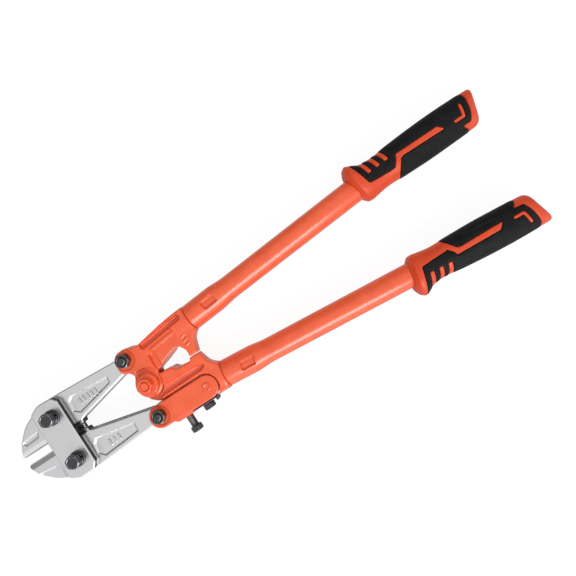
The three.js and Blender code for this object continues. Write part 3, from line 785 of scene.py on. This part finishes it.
def lower_forging(x, y, z):
    """The forging with a thin tongue between the upper one's ears and the link's cheeks."""
    level = np.abs(z)
    body = slab(forged_outline(LOWER_OUTLINE, x, y, z), z, -CHEEK_OUT, CHEEK_OUT, FORGED_EDGE)
    collar, spigot = neck(x, y, z, -1)
    body = either(body, collar, 2.4)
    groove = flat([(2, -11.2), (33, -10.4, 1.5), (36.6, -8.2, 0.8), (30, -5.6, 4), (2, -5.2)], x, y)
    groove_floor = CHEEK_OUT - LOWER_GROOVE_DEPTH + (y - LOWER_GROOVE_SIDE) * LOWER_GROOVE_SLOPE
    body = cut(body, both(groove, groove_floor - level, 1.8), 0.5)
    end = circle(x, y, (RIVET_X, LINK_Y), LINK_POCKET)
    pocket = either(end, both(y - POCKET_SIDE, x - RIVET_X))
    body = cut(body, pocket, 0.5)
    body = cut(body, circle(x, y, (0, 0), TONGUE_ROOM), 0.4)
    tongue = either(flat(TONGUE_OUTLINE, x, y), circle(x, y, (0, 0), TONGUE_RADIUS), 1)
    body = either(body, slab(tongue, z, -CORE_HALF, CORE_HALF, 1))
    well = both(flat([(6.2, 5.4), (9.6, 4.8), (9, 1.2), (5.8, 1.6)], x, y), WELL_LEVEL - z)
    body = cut(body, well, 0.3)
    body = cut(body, circle(x, y, (0, 0), BOLT_HOLE))
    body = cut(body, circle(x, y, (RIVET_X, LINK_Y), RIVET_HOLE))
    return either(body, spigot)


# ------------------------------------------------------------------ adjusting link

LINK_RADIUS = 7.25
WEB_LEVEL = 5.6
WEB_INSIDE = -25.3  # the floor of the channel
WEB_START = 3.4  # the jaw's tail has the whole depth up to here
SCREW_X = {"front_adjusting_screw": 8.4, "rear_adjusting_screw": 22.8}
SCREW_HEAD_Y = {"front_adjusting_screw": -37.5, "rear_adjusting_screw": -29.9}
SCREW_TIP_Y = -24.9
SCREW_HOLE, SCREW_HOLE_END = 2.8, -22.0
SCREW_HEAD = (0, 3.5)
WEB_OUTLINE = [
    (0, -24), (0, -28, 1), (3, -29.9, 1.5), (14.2, -29.9, 0.4), (14.2, -28.4), (31, -28.4, 1.2),
    (31, -24),
]


def adjusting_link(x, y, z):
    """A channel: two cheeks over the lower jaw's tail and the tongue, joined by a web."""
    spine = capsule(x, y, (TAIL_X - 0.3, LINK_Y), (RIVET_X, LINK_Y), LINK_RADIUS)
    body = slab(spine, z, -CHEEK_OUT, CHEEK_OUT, 0.9)
    web = slab(flat(WEB_OUTLINE, x, y), z, -WEB_LEVEL, WEB_LEVEL, 1)
    body = either(body, web, 0.3)
    seat = both(circle(x, y, (TAIL_X, -TAIL_Y), SEAT_RADIUS["lower"]), CHEEK_OUT - SEAT_DEPTH - z)
    body = cut(body, seat, 0.3)
    channel = slab(WEB_INSIDE - y, z, -CHEEK_IN, CHEEK_IN)
    body = cut(body, both(channel, WEB_START - x))
    body = cut(body, slab(x - WEB_START, z, -CHEEK_IN, CHEEK_IN))
    body = cut(body, channel, 0.3)  # rounds the channel's mouth
    for screw_x in SCREW_X.values():
        body = cut(body, np.maximum(np.hypot(x - screw_x, z) - SCREW_HOLE, y - SCREW_HOLE_END))
    body = cut(body, circle(x, y, (TAIL_X, -TAIL_Y), BOLT_HOLE))
    body = cut(body, circle(x, y, (RIVET_X, LINK_Y), RIVET_HOLE))
    return body


for node, field, low, high in (
    ("upper_forging", upper_forging, (-13, -11, -10), (53, 31, 10)),
    ("lower_forging", lower_forging, (-11, -31, -10), (53, 11, 10)),
    ("adjusting_link", adjusting_link, (-13, -30, -8), (38, -12, 8)),
):
    place(node, *surface(field, low, high, FORGING_STEP), "orange_paint", share=0.6)


def rivet():
    """A shank with a low domed head on each side."""
    head = [(2.7, 0.0), (2.7, 0.2), (2.5, 0.4), (2.1, 0.5), (1.7, 0.5), (1.5, 0.3), (0.3, 0.26)]
    top = [round_ring(radius, CHEEK_OUT + rise) for radius, rise in head]
    bottom = [ring * (1, 1, -1) for ring in top[::-1]]
    shank = [round_ring(RIVET_SHANK, -CHEEK_OUT), round_ring(RIVET_SHANK, CHEEK_OUT)]
    return loft(bottom + shank + top)


place("link_rivet", *rivet(), "orange_paint", at(RIVET_X, LINK_Y))

# The screws run along Y, with their heads outward and their threads inward.
sideways = Matrix.Rotation(math.radians(90), 4, "X")

for node, x in SCREW_X.items():
    head_y = SCREW_HEAD_Y[node]
    screw = headed_bolt(SCREW, SCREW_HEAD, 0.0, head_y - SCREW_TIP_Y, dish=0.2)
    place(node, *screw, "black_fasteners", at(x, head_y) @ sideways, bevel=0.1)

PLATE_STEP = 0.15
PLATE_X, PLATE_HALF_LENGTH, PLATE_HALF_WIDTH = 22.7, 7.7, 4.0
PLATE_Y, PLATE_HALF_THICKNESS = -29.15, 0.45
TAB_X, TAB_Y, TAB_HALF = 30.2, -30.0, 1.3


def lock_plate(x, y, z):
    """A strip under the rear screw's head, with one end bent up beside it."""
    across = np.abs(z) - PLATE_HALF_WIDTH
    strip = both(np.abs(x - PLATE_X) - PLATE_HALF_LENGTH, across)
    strip = both(strip, np.abs(y - PLATE_Y) - PLATE_HALF_THICKNESS, 0.3)
    tab = both(np.abs(x - TAB_X) - PLATE_HALF_THICKNESS, across)
    tab = both(tab, np.abs(y - TAB_Y) - TAB_HALF, 0.3)
    hole = np.hypot(x - SCREW_X["rear_adjusting_screw"], z) - SCREW_HOLE
    return cut(either(strip, tab, 0.3), hole)


plate = surface(lock_plate, (14, -32, -5), (32, -28, 5), PLATE_STEP)
place("lock_plate", *plate, "black_fasteners", share=0.3)

# ------------------------------------------------------------------ tubes

TUBE_SIDES = 192
NARROWING_START, NARROWING_LENGTH = 62.0, 13.0  # from the socket's radius to the tube's
START_EDGE = 0.4
SOCKET_INSIDE = 6.6
CRIMP = [(55.6, 2.7, 0.8), (64.4, 2.7, 0.8), (65.4, -2.3, 0.8), (56.4, -2.5, 0.8)]
CRIMP_DEPTH, CRIMP_WALL, CRIMP_CROWN = 2.0, 0.8, 0.03


def tube():
    """The painted tube, with a crimp pressed into each face over the spigot."""
    start = [SOCKET_START + 0.3, SOCKET_START + 0.6]
    fine = np.arange(54, 67.2, 0.25)
    places = np.concatenate([start, np.arange(45, 54, 1), fine, np.arange(68, 79, 1), [110, 140, 176]])
    angles = np.arange(TUBE_SIDES) * math.tau / TUBE_SIDES
    rings = []
    for u in places:
        along = np.full(TUBE_SIDES, u)
        narrowed = eased(np.clip((u - NARROWING_START) / NARROWING_LENGTH, 0, 1))
        radius = SOCKET_RADIUS + (TUBE_RADIUS - SOCKET_RADIUS) * narrowed
        if u == places[0]:
            radius -= START_EDGE
        v, z = radius * np.cos(angles), radius * np.sin(angles)
        pressed = eased(np.clip(0.5 - flat(CRIMP, along, v) / CRIMP_WALL, 0, 1))
        crimp_floor = SOCKET_RADIUS - CRIMP_DEPTH - CRIMP_CROWN * v * v
        depth = np.maximum(np.abs(z) - crimp_floor, 0) * pressed
        rings.append(np.stack([along, v, z - np.sign(z) * depth], axis=1))
    inner = []
    for u, radius in ((places[-1], TUBE_RADIUS - TUBE_WALL), (places[0], SOCKET_INSIDE)):
        along = np.full(TUBE_SIDES, u)
        inner.append(np.stack([along, radius * np.cos(angles), radius * np.sin(angles)], axis=1))
    return loft(rings + inner, closed=True)


tube_mesh = tube()
place("upper_tube", *tube_mesh, "orange_paint", handle)
place("lower_tube", *tube_mesh, "orange_paint", mirror @ handle)

# ------------------------------------------------------------------ grips

GRIP_STEP = 0.36
# Place along the handle, inner side, outer side, half thickness.
GRIP_STATIONS = np.array([
    (160.0, -8.6, 10.9, 10.1),
    (168.0, -8.8, 11.9, 10.6),
    (170.8, -9.6, 13.5, 11.8),
    (173.2, -10.4, 14.8, 12.3),
    (176.2, -10.9, 13.2, 11.9),
    (180.5, -10.5, 10.9, 10.9),
    (186.5, -10.0, 9.9, 10.3),
    (200.0, -10.9, 10.1, 10.7),
    (216.0, -11.9, 10.2, 10.9),
    (232.0, -12.3, 9.8, 10.9),
    (248.0, -12.5, 8.8, 10.5),
    (262.0, -12.2, 7.7, 10.0),
])
# Each grip sits a little askew on its tube, both towards the tool's lower side.
GRIP_LEAN = {"upper": 0.0195, "lower": -0.0195}
LEAN_START = 158.0
END_AT, END_SLOPE = 255.1, 0.36  # the sloping end, which is domed through the thickness
END_DOME = 0.035
END_ROUNDING = 3.0
FRONT_AT, FRONT_SLOPE = 170.1, 0.13
COLLAR_BEVEL = 2.2
OVAL_POWER = 2.15  # 2 is an ellipse, and more is squarer
COVER_THICKNESS = 1.2
COVER_PROUD = 0.2
COVER_ROOM = 0.12  # between the cover and the core's edges
COVER_BITE = 0.2  # how far the cover reaches into the core
DENT_DEPTH, DENT_WALL = 0.5, 0.8
PATTERN_SHIFT = {"upper": (0, 1.0), "lower": (-1.2, 1.4)}
STRIPE_SHIFT = {"upper": 0.0, "lower": -1.6}
STRIPE_BEND, STRIPE_BEND_LENGTH = 190.0, 8.0  # the stripe shifts over this stretch


def smooth_through(stations, u):
    """Values at u on smooth curves through rows of (place, value, value, ...)."""
    places = stations[:, 0]
    row = np.clip(np.searchsorted(places, u) - 1, 0, len(places) - 2)
    width = places[row + 1] - places[row]
    share = (u - places[row]) / width
    values = []
    for column in stations.T[1:]:
        slope = np.gradient(column, places)
        rise = eased(share)
        lean = share * (1 - share) * width * ((1 - share) * slope[row] - share * slope[row + 1])
        values.append(column[row] + (column[row + 1] - column[row]) * rise + lean)
    return values


def grip_form(u, v, z):
    """The grip's outside: ovals along the handle, with a domed end and a bevelled collar."""
    inner, outer, half = smooth_through(GRIP_STATIONS, u)
    middle = (outer + inner) / 2
    across = (v - middle) / ((outer - inner) / 2)
    reach = (np.abs(across) ** OVAL_POWER + np.abs(z / half) ** OVAL_POWER) ** (1 / OVAL_POWER)
    radial = np.hypot(v - middle, z)
    form = radial * (1 - 1 / np.maximum(reach, 0.05))  # the limit keeps the middle finite
    end = (u - END_AT - v * END_SLOPE + END_DOME * z * z) / math.hypot(1, END_SLOPE)
    front = (FRONT_AT - v * FRONT_SLOPE - u) / math.hypot(1, FRONT_SLOPE)
    collar = (form + front + COLLAR_BEVEL) / math.sqrt(2)
    return both(both(both(form, end, END_ROUNDING), front), collar, 0.3)


def cover_region(u, v, side):
    """Where the soft cover lies, seen from the front; the orange shows through its openings."""
    u, v = u - PATTERN_SHIFT[side][0], v - PATTERN_SHIFT[side][1]
    region = flat([
        (173.6, 30), (175.3, 11), (178, -3.6, 1.5), (193.2, -5.3, 1), (195.4, -5.4, 1), (195.6, -30),
        (247, -30), (243.5, -13.5), (238.7, -9.4, 0.6), (244.9, -9.4, 1), (246.9, -4.9, 1), (249.7, 4.4, 8),
        (251.5, 30),
    ], u, v)
    shift = STRIPE_SHIFT[side] * np.clip((u - STRIPE_BEND) / STRIPE_BEND_LENGTH, 0, 1)
    stripe = flat([
        (190, -5.2), (195, -5.1), (198.2, -1.2, 1), (199, 0.9, 1), (226.6, -0.6, 1), (230.2, -4.6, 0.6),
        (202.8, -2.6, 1), (200.6, -3.2, 1), (196, -9.8, 1), (195.6, -14), (190, -14),
    ], u, v - shift)
    region = cut(region, stripe)
    for tip in (182.5, 188.5, 194.2):
        slot = [(tip - 6.2, 30), (tip - 1.9, 0.9, 0.9), (tip + 0.9, 1.1, 0.9), (tip - 2.2, 30)]
        region = cut(region, flat(slot, u, v))
    chevron = [(244.2, 1.3), (242.3, -5.1), (236.8, -4.8)]
    for start, end in zip(chevron, chevron[1:]):
        region = cut(region, capsule(u, v, start, end, 1))
    return region


def cover_panel(u, v, side):
    """A shallow panel pressed into the cover beside the stripe."""
    corners = [(201, -4.6, 1), (224.6, -5.2, 1), (227, -9.4, 1), (199, -9.8, 1)]
    return flat(corners, u - PATTERN_SHIFT[side][0], v - PATTERN_SHIFT[side][1])


def straightened(u, v, side):
    """The place across the handle with the grip's lean taken out."""
    return v + GRIP_LEAN[side] * (u - LEAN_START)


def grip_cover(side):
    """The field of one soft cover, in the handle's frame."""
    def field(u, v, z):
        v = straightened(u, v, side)
        form = grip_form(u, v, z)
        dent = DENT_DEPTH * np.clip(0.5 - cover_panel(u, v, side) / DENT_WALL, 0, 1)
        outside = form - COVER_PROUD + dent
        return cut(both(outside, cover_region(u, v, side), 0.8), form + COVER_THICKNESS)
    return field


def grip_core(side):
    """The field of one hard core, with a recess where the cover lies."""
    def field(u, v, z):
        v = straightened(u, v, side)
        form = grip_form(u, v, z)
        recess = both(cover_region(u, v, side) - COVER_ROOM, -form - COVER_THICKNESS + COVER_BITE)
        return cut(form, recess, 0.5)
    return field


for side, matrix in (("upper", handle), ("lower", mirror @ handle)):
    low, high = (166, -17, -14), (261, 18, 14)
    core = surface(grip_core(side), low, high, GRIP_STEP)
    place(f"{side}_grip_core", *core, "grip_plastic", matrix, share=0.5)
    cover = surface(grip_cover(side), low, high, GRIP_STEP)
    place(f"{side}_grip_cover", *cover, "grip_rubber", matrix, share=0.5)

# ------------------------------------------------------------------ floor and light

FLOOR_REACH = 4.0
FLOOR_GLOW = 0.92
LIT_SIDE = (0.208, -0.978, 0)  # the side that the light comes from
OVERHEAD, LIT_HORIZON, DARK_HORIZON, BELOW = 0.72, 1.15, 0.12, 0.5
HORIZON_SPAN = (-0.75, 0.9)  # from the dark side to the lit side
BELOW_SPAN = (-0.35, -0.1)  # heights between which the ground meets the horizon
DOME_SPAN = (0.35, 0.8)  # heights between which the horizon meets the dome
DOME_TILT = 0.2


def floor():
    """A large pale plane that glows nearly white."""
    mesh = bpy.data.meshes.new("floor")
    corners = [(-1, -1), (1, -1), (1, 1), (-1, 1)]
    mesh.from_pydata([(x * FLOOR_REACH, y * FLOOR_REACH, 0) for x, y in corners], [], [(0, 1, 2, 3)])
    piece = bpy.data.objects.new("floor", mesh)
    collection.objects.link(piece)
    material, shader = new_material("floor", (0.1, 0.1, 0.1), 0.9)
    vary(material, shader, "Base Color", noise(material, 60), 0.095, 0.105)
    shader.inputs["Emission Color"].default_value = (1, 1, 1, 1)
    shader.inputs["Emission Strength"].default_value = FLOOR_GLOW
    mesh.materials.append(material)
    # The glowing floor doesn't light the tool from below.
    piece.visible_diffuse = False
    piece.visible_glossy = False


def softbox(name, where, width, height, power, mirrored=True):
    """A rectangular area light facing the tool, in metres and watts."""
    light = bpy.data.lights.new(name, "AREA")
    light.shape = "RECTANGLE"
    light.size = width
    light.size_y = height
    light.energy = power
    lamp = bpy.data.objects.new(name, light)
    lamp.location = where
    lamp.rotation_euler = (-Vector(where)).to_track_quat("-Z", "Y").to_euler()
    lamp.visible_glossy = mirrored
    collection.objects.link(lamp)


def studio():
    """A bright dome, whose horizon is bright on the lit side and dark on the other."""
    world = bpy.data.worlds.new("studio")
    world.use_nodes = True
    tree = world.node_tree

    def ramp(value, span, low, high):
        """Eases from low to high as the value crosses the span; each may be a socket."""
        node = add_node(world, "ShaderNodeMapRange", From_Min=span[0], From_Max=span[1])
        node.interpolation_type = "SMOOTHSTEP"
        for socket, source in (("Value", value), ("To Min", low), ("To Max", high)):
            if isinstance(source, float):
                node.inputs[socket].default_value = source
            else:
                tree.links.new(source, node.inputs[socket])
        return node.outputs["Result"]

    direction = add_node(world, "ShaderNodeTexCoord").outputs["Generated"]
    toward_light = add_node(world, "ShaderNodeVectorMath")
    toward_light.operation = "DOT_PRODUCT"
    toward_light.inputs[1].default_value = LIT_SIDE
    tree.links.new(direction, toward_light.inputs[0])
    split = add_node(world, "ShaderNodeSeparateXYZ")
    tree.links.new(direction, split.inputs["Vector"])
    horizon = ramp(toward_light.outputs["Value"], HORIZON_SPAN, DARK_HORIZON, LIT_HORIZON)
    lower = ramp(split.outputs["Z"], BELOW_SPAN, BELOW, horizon)
    # The bright part of the dome comes lower on the lit side.
    tilted = add_node(world, "ShaderNodeMath")
    tilted.operation = "MULTIPLY_ADD"
    tree.links.new(toward_light.outputs["Value"], tilted.inputs[0])
    tilted.inputs[1].default_value = DOME_TILT
    tree.links.new(split.outputs["Z"], tilted.inputs[2])
    dome = ramp(tilted.outputs["Value"], DOME_SPAN, lower, OVERHEAD)
    seen = add_node(world, "ShaderNodeLightPath").outputs["Is Camera Ray"]
    strength = ramp(seen, (0.0, 1.0), dome, 1.0)
    tree.links.new(strength, tree.nodes["Background"].inputs["Strength"])
    tree.nodes["Background"].inputs["Color"].default_value = (1, 1, 1, 1)
    bpy.context.scene.world = world


floor()
softbox("key", (-0.05, -0.8, 0.75), width=0.6, height=0.5, power=7)
softbox("fill", (0.1, 0.9, 0.4), width=1.5, height=0.5, power=5, mirrored=False)
studio()
bpy.context.scene.view_settings.view_transform = "Standard"
